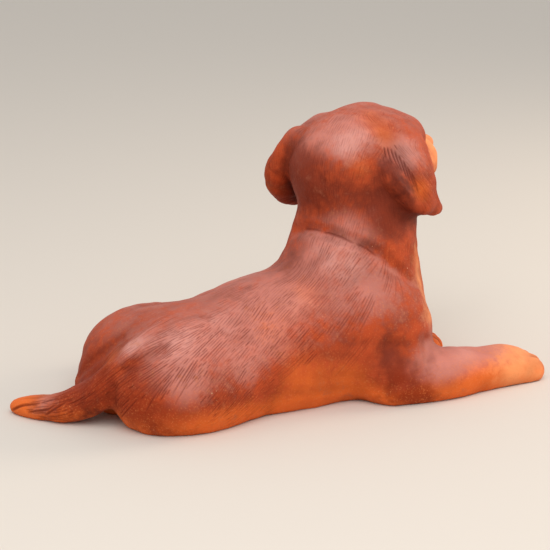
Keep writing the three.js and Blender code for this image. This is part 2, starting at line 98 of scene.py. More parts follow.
make_camera()


# FORM OF THE FIGURE

# Rounded masses of the body: centre, three radii, and how softly each runs into the others.
BARREL = {"at": (14, -1, 21), "radii": (50, 34, 32)}
RIBS = {"at": (37, -1, 27), "radii": (27, 35, 34), "soft": 12}
LOIN = {"at": (-20, -2, 17), "radii": (45, 33, 27), "soft": 12}
NEAR_HAUNCH = {"at": (-48, -18, 15), "radii": (31, 25, 24), "soft": 10}
FAR_HAUNCH = {"at": (-52, 12, 17), "radii": (28.5, 25, 22), "soft": 10}
CROUP = {"at": (-43, -4, 23), "radii": (27, 20, 17), "soft": 8}
FAR_SEAT = {"at": (-64, 8, 10.5), "radii": (20.8, 18, 13), "soft": 5}
BREAST = {"at": (58, 1, 38), "radii": (8.5, 12, 18), "soft": 8}
NEAR_PECTORAL = {"at": (49, -14, 24), "radii": (12, 11, 15), "soft": 7}
FAR_PECTORAL = {"at": (52, 15, 24), "radii": (12, 11, 15), "soft": 7}
NEAR_SHOULDER = {"at": (39, -26, 24), "radii": (20, 12, 25), "soft": 8}
FAR_SHOULDER = {"at": (39, 24, 24), "radii": (20, 12, 25), "soft": 8}

# Limbs, neck and tail run through joints, each a row of x, y, z, half width, half thickness.
SIDEWAYS = (0, 1, 0)
NECK = {
    "joints": [
        (34.5, 1.5, 42, 31, 30), (38.2, 2, 62, 27, 26), (41, 4, 80, 24, 24.5), (41, 6, 92, 23, 24),
    ],
    "soft": 9,
    "steps": 2,
}
NEAR_FORELEG = {
    "joints": [
        (38, -33, 10, 12, 13), (60, -34, 8, 12.5, 11.7), (80, -32, 6.5, 10.8, 9.6),
        (93.5, -30.5, 6, 10.8, 8.8),
    ],
    "soft": 6,
}
FAR_FORELEG = {"joints": [(38, 30, 10, 12, 13), (58, 27, 6.5, 11, 10), (74, 23, 5, 9.5, 8)], "soft": 6}
FAR_THIGH = {"joints": [(-54, 20, 17, 19, 18), (-38, 34, 17, 15, 16), (-24, 42, 12, 11, 12)], "soft": 7}
FAR_SHANK = {"joints": [(-24, 44, 9, 9, 9), (-40, 52, 7, 7.5, 8), (-54, 56, 6, 6.5, 7)], "soft": 4}
FAR_HOCK = {"joints": [(-54, 57, 4.5, 6.5, 6.5), (-36, 61, 4, 7, 6)], "soft": 3, "steps": 1}
NEAR_HOCK = {"joints": [(-24, 26, 4, 8, 7), (-9, 37, 4, 7.5, 6)], "soft": 4, "steps": 1}
TAIL = {
    "joints": [
        (-38, -12, 33, 9, 7), (-50, -17, 33.5, 9.5, 7), (-61, -18.5, 30.5, 10, 6.8),
        (-70, -16, 24.5, 9.5, 6.3), (-77.5, -11, 16.5, 8.5, 6.3), (-84.8, -4.5, 9.3, 8, 6),
        (-92, 1.8, 5.4, 7.4, 5.2), (-99, 9, 3.8, 6.4, 4.4), (-104.6, 15, 2.8, 4.5, 3.4),
        (-107.4, 18.4, 2.4, 2.8, 2.6),
    ],
    "soft": 3,
}

# Paws: place of the middle, the way they point in degrees from +X, and their size.
PAW_RADII = (11, 9.5, 7.5)
TOE = {"radii": (6.5, 2.9, 5.8), "reach": 8.5, "round": 1.1, "apart": 4.9, "down": 1.5, "soft": 1.6}
NEAR_FOREPAW = {"at": (96.8, -30, 5.8), "yaw": 7, "size": 1.12, "soft": 4}
FAR_FOREPAW = {"at": (78, 21, 4.5), "yaw": -12, "size": 1, "soft": 4}
FAR_HIND_PAW = {"at": (-27, 62, 3.5), "yaw": 8, "size": 0.85, "soft": 3}
NEAR_HIND_PAW = {"at": (-3, 40, 3.5), "yaw": 25, "size": 0.85, "soft": 3}

# The head has a frame of its own: x to the nose, y to its left, z up. What is given for
# the left side is mirrored to the right.
HEAD = {"at": (41, 8, 94), "yaw": 33, "pitch": 3, "roll": -2.5, "soft": 5}
CRANIUM = {"at": (-5, 0, -1), "radii": (26, 25, 23)}
FOREHEAD = {"at": (11, 0, 3), "radii": (18, 20, 20), "soft": 8}
BROW = {"at": (17, 13.3, 7.5), "radii": (13, 10.5, 9), "soft": 8}
STOP = {"at": (24, 0, 1), "radii": (13, 9, 9), "soft": 6}
CHEEK = {"at": (10, 13, -9), "radii": (17, 11, 12), "soft": 7}
MUZZLE = {
    "joints": [(18, 0, -6, 15, 13), (37, 0, -9, 12.5, 11.3), (54, 0, -9.6, 10.8, 10)],
    "soft": 8,
    "steps": 2,
}
FLEW = {"at": (45, 6, -13), "radii": (14, 6.5, 8), "soft": 4}
JAW = {"from": (16, 0, -18), "to": (46, 0, -18.8), "radius": (8, 5.4), "soft": 4}
NOSE = {"at": (61.6, 0, -4.8), "radii": (4.8, 6.2, 4.6), "soft": 2}
EYE_SOCKET = {"at": (30.5, 15, 3), "radii": (8.5, 6.8, 5.4), "soft": 4}
EYEBALL = {"at": (24, 11.8, 3), "radii": (5.4, 4.8, 4), "soft": 1.8}
EAR_FLAP = {
    "joints": [
        (3, 17, 12.8, 13, 6), (3, 24, 7, 12, 5.2), (2, 29, -1.5, 9.6, 4.8), (1.5, 31.2, -9, 7.6, 4.4),
        (4.8, 31.4, -16, 5.4, 3.8), (12.2, 31.6, -20.8, 3.3, 2.8),
    ],
    "wide": (1, -0.2, 0.15),
    "soft": 3,
}
FAR_EAR_BACK = {
    "joints": [
        (-10, 18.5, 9.8, 9, 6.5), (-11.2, 25.4, 2, 8.8, 6), (-9.5, 30, -5, 8.8, 5.8),
        (-4.5, 31, -11.5, 7.8, 5), (1.5, 31.2, -16.5, 6, 4),
    ],
    "wide": (1, -0.6, 0.25),
    "soft": 3,
}
NEAR_EAR_BACK = {
    "joints": [
        (-9.5, -14.5, 8, 9, 6.5), (-10, -21.4, 0.5, 8.8, 6), (-8.4, -26.4, -6.5, 8.6, 5.6),
        (-4, -29.4, -12.2, 7.6, 5), (1.5, -31.2, -16.5, 6, 4),
    ],
    "wide": (1, 0.6, 0.25),
    "soft": 3,
}

# Furrows: the points that they run through, and how wide and deep they are.
MOUTH = {
    "through": [(66, 0.5, -12), (60, 8, -16.3), (48, 12.3, -20), (34, 13.8, -19)],
    "width": 1.3,
    "depth": 1.3,
}
NOSTRIL = {"through": [(66.1, 2.8, -4.2), (64.6, 5, -5.8)], "width": 1.1, "depth": 1.5}
NEAR_EAR_HOLLOW = {
    "through": [
        (-15.3, -24.6, 6.3), (-13.5, -28.5, 2.1), (-11.7, -31.8, -3.2), (-10, -34, -7.5),
        (-8.5, -35, -12.5),
    ],
    "width": 3.2,
    "depth": 2.2,
}
NECK_FOLD = {
    "through": [
        (12.4, 8, 66.5), (13.6, -3, 69), (16.9, -11.5, 69.3), (21.8, -18.2, 68.2), (28.4, -23.5, 65.3),
        (36, -26.5, 60.2), (44, -27.8, 54), (49.5, -27.8, 49),
    ],
    "width": 2.4,
    "depth": 2.4,
}
ARMPIT_FOLD = {
    "through": [(34.6, -39.8, 26), (37.5, -42.2, 19.8), (36, -44.5, 14)],
    "width": 3.6,
    "depth": 1.9,
}
ELBOW_FOLD = {
    "through": [
        (53.6, -35.5, 25), (50.7, -41.5, 19), (46, -45.2, 14.3), (38, -45, 11), (31.5, -43, 8.5),
    ],
    "width": 2.2,
    "depth": 1.2,
}
TAIL_FOLD = {
    "through": [
        (-80.3, -19.3, 13), (-80.3, -20.2, 18), (-79.2, -19.9, 22.3), (-75.5, -23.3, 26.4),
        (-69.7, -26.7, 30.7), (-62, -29.4, 34),
    ],
    "width": 2,
    "depth": 1.6,
}
FAR_TAIL_FOLD = {
    "through": [
        (-83.5, 10, 15), (-80.8, 6.2, 19.8), (-77.6, 3.2, 23.7), (-74, 0.2, 28.1), (-70, -3, 32.5),
    ],
    "width": 2,
    "depth": 1.5,
}


class Shape:
    """Distances of points to a surface, negative inside it, and a box that holds the surface."""

    def __init__(self, distance, low, high):
        self.distance = distance
        self.low = np.array(low, float)
        self.high = np.array(high, float)

    def gap(self, points):
        """How far points are from the box."""
        outside = np.maximum(np.maximum(self.low - points, points - self.high), 0)
        return np.sqrt(np.einsum("ij,ij->i", outside, outside))


def soft_min(a, b, soft):
    """The smaller of two distances, with a fillet of the given softness where they meet."""
    h = np.clip(0.5 + 0.5 * (b - a) / soft, 0, 1)
    return b + (a - b) * h - soft * h * (1 - h)


def roundness(local, radii):
    """Distances to an egg of these radii round the origin."""
    scaled = local / radii
    k0 = np.linalg.norm(scaled, axis=1)
    k1 = np.linalg.norm(scaled / radii, axis=1) + 1e-9
    return k0 * (k0 - 1) / k1


def egg(part):
    at = np.array(part["at"], float)
    radii = np.array(part["radii"], float)
    return Shape(lambda points: roundness(points - at, radii), at - radii, at + radii)


def cone(part):
    start = np.array(part["from"], float)
    end = np.array(part["to"], float)
    along = end - start
    first, last = part["radius"]
    most = max(first, last)

    def distance(points):
        t = np.clip((points - start) @ along / (along @ along), 0, 1)
        return np.linalg.norm(points - start - t[:, None] * along, axis=1) - first - (last - first) * t

    return Shape(distance, np.minimum(start, end) - most, np.maximum(start, end) + most)


def smooth_rows(rows, steps):
    """Rows of numbers on a smooth run through the given rows, with the given steps between them."""
    rows = np.array(rows, float)
    if len(rows) < 3 or steps < 2:
        return rows
    padded = np.vstack([2 * rows[0] - rows[1], rows, 2 * rows[-1] - rows[-2]])
    run = []
    for n in range(1, len(padded) - 2):
        a, b, c, d = padded[n - 1:n + 3]
        for step in range(steps):
            t = step / steps
            bend = (2 * a - 5 * b + 4 * c - d) * t**2 + (3 * b - a - 3 * c + d) * t**3
            run.append(0.5 * (2 * b + (c - a) * t + bend))
    run.append(rows[-1])
    return np.array(run)


def limb_stretch(start, end, wide):
    """One stretch of a limb, of elliptical section, between two of its joints."""
    a = start[:3]
    along = end[:3] - a
    length = np.linalg.norm(along)
    forward = along / length
    across = wide - (wide @ forward) * forward
    across = across / np.linalg.norm(across)
    axes = np.array([across, np.cross(forward, across), forward]).T

    def distance(points):
        t = np.clip((points - a) @ along / length**2, 0, 1)
        local = (points - a - t[:, None] * along) @ axes
        half_width = start[3] + (end[3] - start[3]) * t
        half_depth = start[4] + (end[4] - start[4]) * t
        return roundness(local, np.stack([half_width, half_depth, np.minimum(half_width, half_depth)], 1))

    most = max(start[3], start[4], end[3], end[4])
    return Shape(distance, np.minimum(a, end[:3]) - most, np.maximum(a, end[:3]) + most)


def limb(part):
    JOIN_SOFT = 2
    run = smooth_rows(part["joints"], part.get("steps", 3))
    wide = np.array(part.get("wide", SIDEWAYS), float)
    stretches = [limb_stretch(a, b, wide) for a, b in zip(run[:-1], run[1:])]
    return joined(stretches[0], *((stretch, JOIN_SOFT) for stretch in stretches[1:]))


def joined(first, *others):
    """Runs the shapes together, each with its own softness."""

    def distance(points):
        d = first.distance(points)
        for shape, soft in others:
            near = shape.gap(points) < d + soft
            if near.any():
                d[near] = soft_min(d[near], shape.distance(points[near]), soft)
        return d

    shapes = [first] + [shape for shape, _ in others]
    return Shape(distance, np.min([s.low for s in shapes], 0), np.max([s.high for s in shapes], 0))


def hollowed(shape, hole, soft):
    def distance(points):
        return -soft_min(-shape.distance(points), hole.distance(points), soft)

    return Shape(distance, shape.low, shape.high)


def away_from_run(points, run):
    """The squared distances of points to a run of straight stretches."""
    nearest = np.full(len(points), np.inf)
    for a, b in zip(run[:-1], run[1:]):
        along = b - a
        t = np.clip((points - a) @ along / (along @ along), 0, 1)
        aside = points - a - t[:, None] * along
        nearest = np.minimum(nearest, np.einsum("ij,ij->i", aside, aside))
    return nearest


def pressed(points, furrow):
    """How far a furrow presses the surface in at the points."""
    REACH = 3
    run = smooth_rows(furrow["through"], 4)
    margin = REACH * furrow["width"]
    near = np.all((points > run.min(0) - margin) & (points < run.max(0) + margin), axis=1)
    press = np.zeros(len(points))
    if near.any():
        press[near] = furrow["depth"] * np.exp(-away_from_run(points[near], run) / furrow["width"]**2)
    return press


def furrowed(shape, *furrows):
    """Presses soft furrows into a shape along lines."""

    def distance(points):
        return shape.distance(points) + sum(pressed(points, furrow) for furrow in furrows)

    return Shape(distance, shape.low, shape.high)


def mirrored(shape):
    def distance(points):
        return shape.distance(np.column_stack([points[:, 0], np.abs(points[:, 1]), points[:, 2]]))

    widest = shape.high[1]
    return Shape(distance, (shape.low[0], -widest, shape.low[2]), (shape.high[0], widest, shape.high[2]))


def placing(place):
    """Turning and moving out of the frame of a part. Pitch lifts x, and roll lifts y."""
    angles = [math.radians(place.get(name, 0)) for name in ("roll", "pitch", "yaw")]
    turn = np.array(Euler((angles[0], -angles[1], angles[2])).to_matrix())
    return turn * place.get("size", 1), np.array(place["at"], float)


def placed(shape, place):
    """Puts a shape with a frame of its own in its place."""
    turn, at = placing(place)
    size = place.get("size", 1)
    corners = np.array(list(product(*zip(shape.low, shape.high)))) @ turn.T + at

    def distance(points):
        return size * shape.distance((points - at) @ turn / size**2)

    return Shape(distance, corners.min(0), corners.max(0))


def paw(place):
    toes = []
    for n in (-1.5, -0.5, 0.5, 1.5):
        at = (TOE["reach"] - TOE["round"] * n * n, TOE["apart"] * n, -TOE["down"])
        toes.append((egg({"at": at, "radii": TOE["radii"]}), TOE["soft"]))
    return placed(joined(egg({"at": (0, 0, 0), "radii": PAW_RADII}), *toes), place)


def head_shape():
    def soft(make, part):
        return make(part), part["soft"]

    def both(make, part):
        return mirrored(make(part)), part["soft"]

    skull = joined(
        egg(CRANIUM), soft(egg, FOREHEAD), both(egg, BROW), soft(egg, STOP), both(egg, CHEEK),
        soft(limb, MUZZLE), both(egg, FLEW), soft(cone, JAW), soft(egg, NOSE),
    )
    lined = mirrored(furrowed(skull, MOUTH, NOSTRIL))
    socketed = hollowed(lined, *both(egg, EYE_SOCKET))
    eared = joined(
        socketed, both(egg, EYEBALL), soft(limb, FAR_EAR_BACK), soft(limb, NEAR_EAR_BACK),
        both(limb, EAR_FLAP),
    )
    return placed(furrowed(eared, NEAR_EAR_HOLLOW), HEAD)


def figure_shape():
    def soft(make, part):
        return make(part), part["soft"]

    body = joined(
        egg(BARREL), soft(egg, RIBS), soft(egg, LOIN), soft(egg, NEAR_HAUNCH), soft(egg, FAR_HAUNCH),
        soft(egg, CROUP), soft(egg, FAR_SEAT), soft(egg, BREAST),
        soft(egg, NEAR_PECTORAL), soft(egg, FAR_PECTORAL),
        soft(limb, NECK), (head_shape(), HEAD["soft"]),
        soft(egg, NEAR_SHOULDER), soft(egg, FAR_SHOULDER),
        soft(limb, NEAR_FORELEG), soft(paw, NEAR_FOREPAW),
        soft(limb, FAR_FORELEG), soft(paw, FAR_FOREPAW),
        soft(limb, FAR_THIGH), soft(limb, FAR_SHANK), soft(limb, FAR_HOCK), soft(paw, FAR_HIND_PAW),
        soft(limb, NEAR_HOCK), soft(paw, NEAR_HIND_PAW), soft(limb, TAIL),
    )
    return furrowed(body, NECK_FOLD, ARMPIT_FOLD, ELBOW_FOLD, TAIL_FOLD, FAR_TAIL_FOLD)


FIGURE = figure_shape()


def figure_distance(points):
    """Distances to the figure's surface, with its underside flat on the ground."""
    return np.maximum(FIGURE.distance(points), -points[:, 2])


# FINE SURFACE

def in_batches(function, points, size=50000):
    return np.concatenate([function(points[n:n + size]) for n in range(0, len(points), size)])


def sampled(step):
    """Distances on a grid, worked out only in the blocks that the surface may pass through."""
    low = np.array(SAMPLED_BOX["low"], float)
    blocks = np.ceil((np.array(SAMPLED_BOX["high"]) - low) / (step * BLOCK)).astype(int)
    block = np.stack(np.meshgrid(*map(np.arange, blocks), indexing="ij"), -1).reshape(-1, 3)
    half = 0.5 * BLOCK * step
    REACH = 1.5
    away = in_batches(figure_distance, low + block * BLOCK * step + half)
    block = block[np.abs(away) < REACH * math.sqrt(3) * half]
    corner = np.stack(np.meshgrid(*[np.arange(BLOCK + 1)] * 3, indexing="ij"), -1).reshape(-1, 3)
    count = blocks * BLOCK + 1
    index = (block[:, None] * BLOCK + corner).reshape(-1, 3)
    flat = np.unique(np.ravel_multi_index(index.T, count))
    place = np.stack(np.unravel_index(flat, count), 1)
    values = np.full(np.prod(count), np.nan, np.float32)
    values[flat] = in_batches(figure_distance, low + place * step)
    return values.reshape(count), low


# The corners of a grid cell, and its edges as pairs of corners.
CELL_CORNERS = [(n & 1, n >> 1 & 1, n >> 2) for n in range(8)]
CELL_EDGES = [(n, n | bit) for n in range(8) for bit in (1, 2, 4) if not n & bit]


def touches_itself(mask):
    """Whether a surface round the corners that the bits of the mask name would touch itself."""
    inside = [mask >> n & 1 for n in range(8)]
    group = list(range(8))
    for _ in range(8):
        for a, b in CELL_EDGES:
            if inside[a] == inside[b]:
                group[a] = group[b] = min(group[a], group[b])
    if len(set(group)) > 2:
        return True
    for across, u, v in ((1, 2, 4), (2, 4, 1), (4, 1, 2)):
        for side in (0, across):
            a, b, c, d = (inside[n] for n in (side, side | u, side | u | v, side | v))
            if a == c and b == d and a != b:
                return True
    return False


def shifted(grid, corner):
    return grid[tuple(slice(c, n - 1 + c) for c, n in zip(corner, grid.shape))]


def settle(values):
    """Where the surface would touch itself inside a cell, the corner nearest to it changes sides."""
    PASSES = 6
    bad = np.array([touches_itself(mask) for mask in range(256)])
    for _ in range(PASSES):
        known = ~np.isnan(sum(shifted(values, c) for c in CELL_CORNERS))
        mask = sum((shifted(values, c) < 0).astype(np.int16) << n for n, c in enumerate(CELL_CORNERS))
        cells = np.argwhere(known & bad[mask])
        if not len(cells):
            return
        at = cells[:, None] + np.array(CELL_CORNERS)
        nearest = np.argmin(np.abs(values[tuple(at.reshape(-1, 3).T)]).reshape(-1, 8), 1)
        flips = np.unique(at[np.arange(len(at)), nearest], axis=0)
        values[tuple(flips.T)] *= -1


def skin(step):
    """Covers the figure with triangles, one corner in each cell of the grid that it crosses."""
    values, low = sampled(step)
    settle(values)
    known = ~np.isnan(sum(shifted(values, c) for c in CELL_CORNERS))
    inside = sum((shifted(values, c) < 0).astype(np.int8) for c in CELL_CORNERS)
    crossed = known & (inside > 0) & (inside < 8)
    cells = np.argwhere(crossed)
    number = np.full(crossed.shape, -1, np.int32)
    number[crossed] = np.arange(len(cells))
    total = np.zeros((len(cells), 3))
    crossings = np.zeros(len(cells))
    for a, b in CELL_EDGES:
        start, end = np.array(CELL_CORNERS[a]), np.array(CELL_CORNERS[b])
        here = values[tuple((cells + start).T)]
        there = values[tuple((cells + end).T)]
        cut = (here < 0) != (there < 0)
        share = here[cut] / (here[cut] - there[cut])
        total[cut] += start + share[:, None] * (end - start)
        crossings[cut] += 1
    points = low + (cells + total / crossings[:, None]) * step
    triangles = []
    for axis in range(3):
        u, v = np.eye(3, dtype=int)[[(axis + 1) % 3, (axis + 2) % 3]]
        here = np.take(values, range(values.shape[axis] - 1), axis)
        there = np.take(values, range(1, values.shape[axis]), axis)
        for leaving in (True, False):
            cut = (here < 0) & (there >= 0) if leaving else (here >= 0) & (there < 0)
            at = np.argwhere(cut)
            ring = np.stack([number[tuple((at - s).T)] for s in (0 * u, u, u + v, v)], 1)
            ring = ring if leaving else ring[:, ::-1]
            triangles += [ring[:, [0, 1, 2]], ring[:, [0, 2, 3]]]
    return points, np.concatenate(triangles).astype(int)


def nearness(points):
    """Distances of points to the figure, and which way is out of it there."""
    TINY = 0.02
    away = in_batches(FIGURE.distance, points)
    slope = np.stack([in_batches(FIGURE.distance, points + TINY * axis) - away for axis in np.eye(3)], 1)
    return away, slope / np.linalg.norm(slope, axis=1)[:, None]


def onto_surface(points, passes=2):
    """Moves points onto the figure, by no more than a little at a time."""
    MOST = 2
    for _ in range(passes):
        away, out = nearness(points)
        points = points - out * np.clip(away, -MOST, MOST)[:, None]
    return points


def normals_of(points, triangles):
    a, b, c = (points[triangles[:, n]] for n in range(3))
    facing = np.cross(b - a, c - a)
    total = np.zeros_like(points)
    for axis in range(3):
        for n in range(3):
            total[:, axis] += np.bincount(triangles[:, n], facing[:, axis], len(points))
    return total / np.linalg.norm(total, axis=1)[:, None]


def base_surface():
    """The figure's smooth surface in triangles: a skin that is then drawn onto the true form."""
    points, triangles = skin(SKIN_STEP)
    free = points[:, 2] > 2 * SKIN_STEP
    points[free] = onto_surface(points[free])
    points[:, 2] = np.maximum(points[:, 2], 0)
    return points, triangles


def with_halved_edges(points, triangles, wanted):
    """Cuts the wanted edges in half, and the triangles beside them to match."""
    sides = np.sort(triangles[:, [[0, 1], [1, 2], [2, 0]]], axis=2).reshape(-1, 2)
    keys, side = np.unique(sides[:, 0] * len(points) + sides[:, 1], return_inverse=True)
    ends = np.stack(np.divmod(keys, len(points)), 1)
    cut = wanted(ends)
    number = np.where(cut, len(points) - 1 + np.cumsum(cut), -1)
    middles = number[side].reshape(-1, 3)
    halved = middles >= 0
    made = [triangles[~halved.any(1)]]
    first_side = {1: halved.argmax(1), 2: halved.argmin(1) + 1, 3: np.zeros(len(halved), int)}
    for count, first in first_side.items():
        chosen = halved.sum(1) == count
        order = (first[chosen][:, None] + np.arange(3)) % 3
        a, b, c = np.take_along_axis(triangles[chosen], order, 1).T
        ab, bc, ca = np.take_along_axis(middles[chosen], order, 1).T
        made += [np.stack(corners, 1) for corners in {
            1: [(a, ab, c), (ab, b, c)],
            2: [(ab, b, bc), (a, ab, bc), (a, bc, c)],
            3: [(a, ab, ca), (ab, b, bc), (ca, bc, c), (ab, bc, ca)],
        }[count]]
    return ends[cut], np.concatenate(made)


def refined(points, triangles, cuts):
    """Divides the triangles beside the strokes, across the way that these run."""
    for reach, widest in REFINEMENTS:
        normals = normals_of(points, triangles)

        def wanted(ends):
            start, end = points[ends[:, 0]], points[ends[:, 1]]
            nearest, away = cuts.nearest((start + end) / 2)
            along = np.einsum("ij,ij->i", end - start, cuts.way[nearest])
            across = np.einsum("ij,ij->i", end - start, end - start) - along**2
            return (away < reach) & (across > widest**2)

        ends, triangles = with_halved_edges(points, triangles, wanted)
        middle = points[ends].mean(1)
        out = normals[ends].mean(1)
        free = middle[:, 2] > SKIN_STEP
        middle[free] -= out[free] * in_batches(FIGURE.distance, middle[free])[:, None]
        points = np.concatenate([points, middle])
    return points, triangles


def mesh_of(name, points, faces):
    mesh = bpy.data.meshes.new(name)
    mesh.vertices.add(len(points))
    mesh.vertices.foreach_set("co", np.asarray(points, np.float32).ravel())
    mesh.loops.add(faces.size)
    mesh.loops.foreach_set("vertex_index", faces.astype(np.int32).ravel())
    mesh.polygons.add(len(faces))
    mesh.polygons.foreach_set("loop_start", np.arange(len(faces), dtype=np.int32) * faces.shape[1])
    mesh.update(calc_edges=True)
    return mesh


def points_of(mesh, normals=False):
    flat = np.empty(3 * len(mesh.vertices), np.float32)
    if normals:
        mesh.vertex_normals.foreach_get("vector", flat)
    else:
        mesh.vertices.foreach_get("co", flat)
    return flat.reshape(-1, 3).astype(float)


def thinned(mesh, triangles):
    """The mesh with its flattest places drawn together, until so many triangles are left."""
    carrier = bpy.data.objects.new("carrier", mesh)
    bpy.context.scene.collection.objects.link(carrier)
    modifier = carrier.modifiers.new("thinned", "DECIMATE")
    modifier.ratio = min(1, triangles / len(mesh.polygons))
    depsgraph = bpy.context.evaluated_depsgraph_get()
    made = bpy.data.meshes.new_from_object(carrier.evaluated_get(depsgraph))
    bpy.data.objects.remove(carrier)
    bpy.data.meshes.remove(mesh)
    return made


# COAT

# Lines that the hair follows, in the way that it lies. Those of the head are in its own
# frame, and the mirrored ones also stand for the other side of the dog.
HEAD_COMBING = [
    [(62, 0, 3), (40, 0, 4), (26, 0, 13), (8, 0, 24), (-10, 0, 24), (-26, 0, 12), (-31, 0, -6)],
]
MIRRORED_HEAD_COMBING = [
    [(52, 11, -4), (36, 13, -4), (24, 18, -6), (8, 22, -12), (-8, 22, -20)],
    [(28, 16, 12), (14, 21, 12), (-2, 22, 12), (-18, 19, 6), (-26, 16, -8)],
    [(-6, 16, 15), (-9, 25, 10), (-7, 33, 1), (-3, 37, -8), (3, 37, -15)],
]
COMBING = [
    [
        (16, -2, 104), (10, -4, 90), (9, -6, 76), (4, -6, 62), (-15, -8, 50), (-34, -11, 43),
        (-48, -15, 41),
    ],
    [(66, 20, 84), (68, 12, 66), (67, 5, 48), (64, 0, 28)],
    [(46, -42, 26), (60, -42, 14), (82, -38, 10), (108, -30, 8)],
    [(-58, -29, 34), (-68, -28.5, 28.5), (-79, -21, 18)],
    [(-46, -40, 26), (-58, -41, 14), (-64, -39, 3)],
    [(-50, 2, 40), (-66, 4, 34), (-76, 7, 22), (-78, 8, 5)],
    [(46, 37, 24), (60, 34, 13), (80, 24, 10)],
    [(-46, 30, 32), (-34, 46, 22), (-26, 54, 12), (-16, 62, 6)],
]
MIRRORED_COMBING = [
    [(38, -17, 94), (42, -24, 76), (44, -28, 58), (44, -37, 38), (40, -42, 18)],
    [(42, -25, 54), (30, -33, 38), (16, -37, 22), (4, -35, 8)],
    [(32, -22, 56), (12, -28, 42), (-8, -34, 28), (-26, -38, 16), (-40, -41, 6)],
    [(16, -16, 56), (-2, -23, 46), (-20, -31, 34), (-38, -38, 22), (-52, -42, 8)],
    [(-10, -13, 48), (-28, -23, 40), (-46, -33, 30), (-60, -38, 18), (-66, -37, 6)],
]
MIRROR_LINE = -2  # where the body's own middle runs

# Tufts of cut hair, a row for each area: where it lies, how far it spreads, how many tufts it
# has, the fewest and most lines in one, the gap between two lines, the shortest and longest
# line, and how deep they are cut.
TUFTS = [
    ((-60, -29.5, 33), 9, 30, 5, 8, 1.0, 16, 30, 0.3),
    ((-77, -16, 23), 9, 20, 4, 7, 1.0, 14, 26, 0.26),
    ((-45, -30, 34), 12, 60, 6, 10, 1.0, 14, 26, 0.26),
    ((-36, -37, 25), 11, 50, 6, 10, 1.0, 12, 22, 0.24),
    ((-22, -32, 32), 12, 56, 6, 10, 1.0, 10, 22, 0.22),
    ((0, -25, 42), 14, 60, 6, 10, 1.0, 10, 22, 0.2),
    ((14, -19, 53), 9, 20, 5, 8, 1.05, 9, 18, 0.18),
    ((-20, -37, 18), 10, 12, 4, 7, 1.05, 6, 11, 0.12),
    ((-46, -41, 14), 9, 8, 4, 7, 1.05, 6, 11, 0.12),
    ((24, -15, 86), 17, 110, 6, 10, 0.85, 6, 12, 0.14),
    ((46, -22, 76), 9, 24, 5, 8, 0.85, 5, 9, 0.12),
    ((26, -9, 107), 14, 80, 6, 10, 0.85, 4, 8, 0.13),
    ((40, 0, 114), 13, 26, 5, 9, 0.9, 4, 8, 0.1),
    ((45, -22, 95), 5, 14, 5, 8, 0.9, 6, 10, 0.24),
    ((53, -23, 92), 9, 16, 4, 7, 1.0, 8, 14, 0.14),
    ((10, 20, 90), 10, 20, 4, 7, 1.0, 6, 12, 0.14),
    ((-98, 2, 8), 9, 20, 3, 5, 1.2, 12, 20, 0.34),
    ((-20, 26, 30), 26, 70, 5, 8, 1.2, 9, 17, 0.22),
    ((66, 8, 58), 18, 36, 4, 8, 1.2, 7, 14, 0.18),
    ((30, 34, 74), 22, 34, 4, 8, 1.2, 6, 12, 0.15),
    ((-66, 12, 24), 14, 10, 4, 7, 1.2, 7, 12, 0.1),
]

# Single strokes: how deep and wide each is, and the points that it runs through. They are
# the locks behind the near ear, the crack in the neck's fold and the locks at the tail's end.
LOCKS = [
    (0.5, 0.34, [(41, -17.6, 103.8), (41.4, -19.6, 99.8)]),
    (0.55, 0.34, [(42.6, -17.8, 103.4), (43.4, -20.4, 97.8)]),
    (0.55, 0.34, [(44.2, -17.9, 103), (45.2, -20.1, 98.3), (46, -21.6, 95.4)]),
    (0.55, 0.34, [(45.8, -18.4, 102), (46.8, -20.8, 96.8), (47.4, -22.4, 93.8)]),
    (0.55, 0.34, [(47.3, -19, 100.4), (48.5, -21.6, 94.8), (49.2, -23, 91.6)]),
    (0.5, 0.34, [(48.9, -20, 98.2), (50, -22.4, 92.6), (50.6, -23.6, 89.8)]),
    (0.5, 0.34, [(50.4, -20.8, 95.6), (51.6, -23, 90.4), (52.2, -24, 87.4)]),
    (0.45, 0.34, [(51.8, -21.8, 93.4), (53, -23.8, 88.2), (53.6, -24.6, 85.2)]),
    (0.3, 0.5, [(14.6, 0.5, 68.3), (15.6, -5.5, 69.3), (17.2, -9.8, 69.3)]),
    (0.45, 0.5, [(16.6, -8.6, 68.9), (19, -12.8, 68.9), (22.3, -17.1, 67.8), (26.4, -20.9, 65.7)]),
    (0.35, 0.5, [(24, -18.9, 67.2), (30, -22.9, 64), (35, -24.9, 60.4)]),
    (0.7, 0.5, [(-110, 16.2, 1.9), (-106.2, 10.1, 5.5), (-101.5, 4.6, 7.4)]),
    (0.65, 0.45, [(-105.8, 8.6, 5.1), (-101.5, 4.6, 7.4), (-95.4, 0, 10.1)]),
    (0.7, 0.5, [(-105.8, 7.4, 3.3), (-100.7, 0.8, 5.6), (-97.3, -1.7, 8)]),
    (0.6, 0.45, [(-100.9, 0.5, 3.6), (-96.5, -3, 7.2), (-93.7, -5.1, 9.8)]),
]

# The profile of a stroke: half its width, its share of depth in the lips that it raises, where
# these lie and how wide they are in half widths, and the shares of its length that run in and out.
STROKE_WIDTH = 0.24
LIP_SHARE = 0.3
LIP_OUT = 1.9
LIP_WIDE = 0.8
RUN_IN = 0.15
RUN_OUT = 0.35
STROKE_STEP = 0.4
SHORTEST_STROKE = 2
APART = 0.7  # how close one stroke may come to another
LEAST_HEIGHT = 1.5  # no tuft has its middle closer to the ground
TUFT_TWIST = math.radians(3)
LINE_TWIST = math.radians(0.8)


